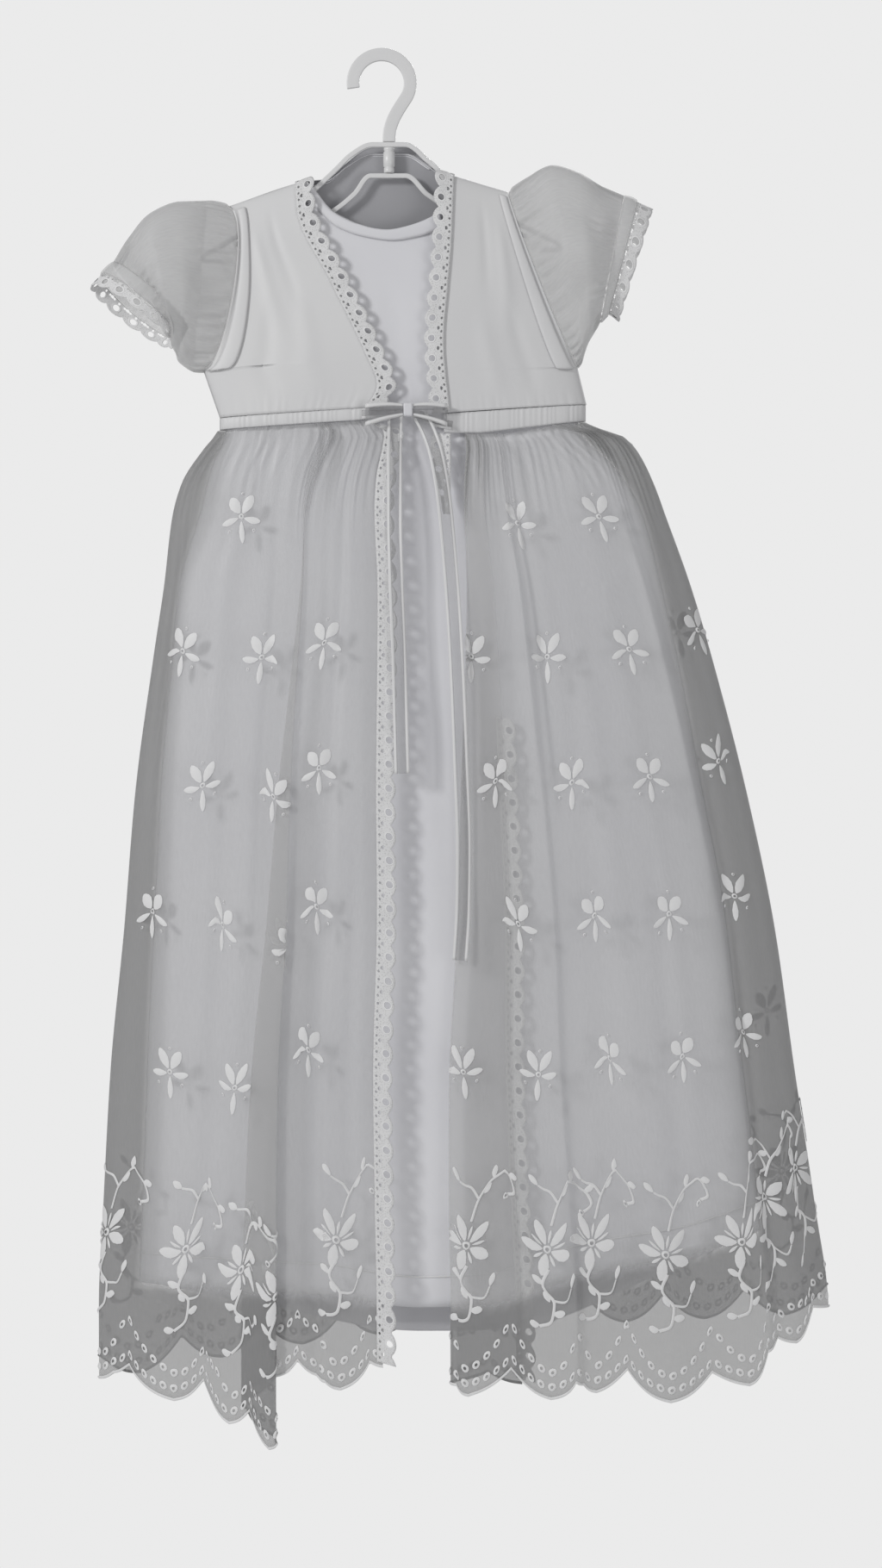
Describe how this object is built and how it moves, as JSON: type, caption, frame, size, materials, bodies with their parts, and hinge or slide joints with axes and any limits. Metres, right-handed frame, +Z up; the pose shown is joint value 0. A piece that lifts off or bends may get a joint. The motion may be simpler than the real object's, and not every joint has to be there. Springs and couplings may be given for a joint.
{
  "type": "christening gown on a child's hanger",
  "caption": "Long christening gown on a plain child's hanger: a sheer embroidered over-gown with puffed sleeves, open down the front, over a sleeveless satin under-gown.",
  "frame": {"origin": "inner top of the hanger hook, the point that bears on a peg or rail", "axes": "+Z up, the front of the gown faces -Y, +X to the right as seen from the front"},
  "size_m": [0.4956, 0.0897, 0.9365],
  "materials": {
    "plastic": "moulded white plastic with a soft gloss",
    "satin": "white polyester satin with a soft sheen",
    "organza": "sheer white organza with white embroidery",
    "lace": "matt white embroidered edging lace with eyelets"
  },
  "bodies": {
    "root": {"hanger_hook": "plastic", "hanger_post": "plastic", "hanger_arms": "plastic", "hanger_bar": "plastic", "hanger_tip_left": "plastic", "hanger_tip_right": "plastic", "over_bodice_front_left": "satin", "over_bodice_front_right": "satin", "over_bodice_back": "satin", "over_armhole_band_left": "satin", "over_armhole_band_right": "satin", "over_waistband_left": "satin", "over_waistband_right": "satin", "over_waistband_back": "satin", "under_bodice_front": "satin", "under_bodice_back": "satin", "under_neck_binding_front": "satin", "under_neck_binding_back": "satin", "under_skirt_front": "satin", "under_skirt_back": "satin", "over_sleeve_left": "organza", "over_sleeve_right": "organza", "over_cuff_band_left": "organza", "over_cuff_band_right": "organza", "over_skirt_front_left": "organza", "over_skirt_front_right": "organza", "over_skirt_back": "organza", "over_tie_knot": "organza", "over_tie_loop_left": "organza", "over_tie_loop_right": "organza", "over_tie_left": "organza", "over_tie_right": "organza", "over_tie_tail_left": "organza", "over_tie_tail_right": "organza", "over_neck_lace_left": "lace", "over_neck_lace_right": "lace", "over_cuff_lace_left": "lace", "over_cuff_lace_right": "lace", "over_front_lace_left": "lace", "over_front_lace_right_upper": "lace", "over_front_lace_right_lower": "lace"}
  },
  "joints": []
}
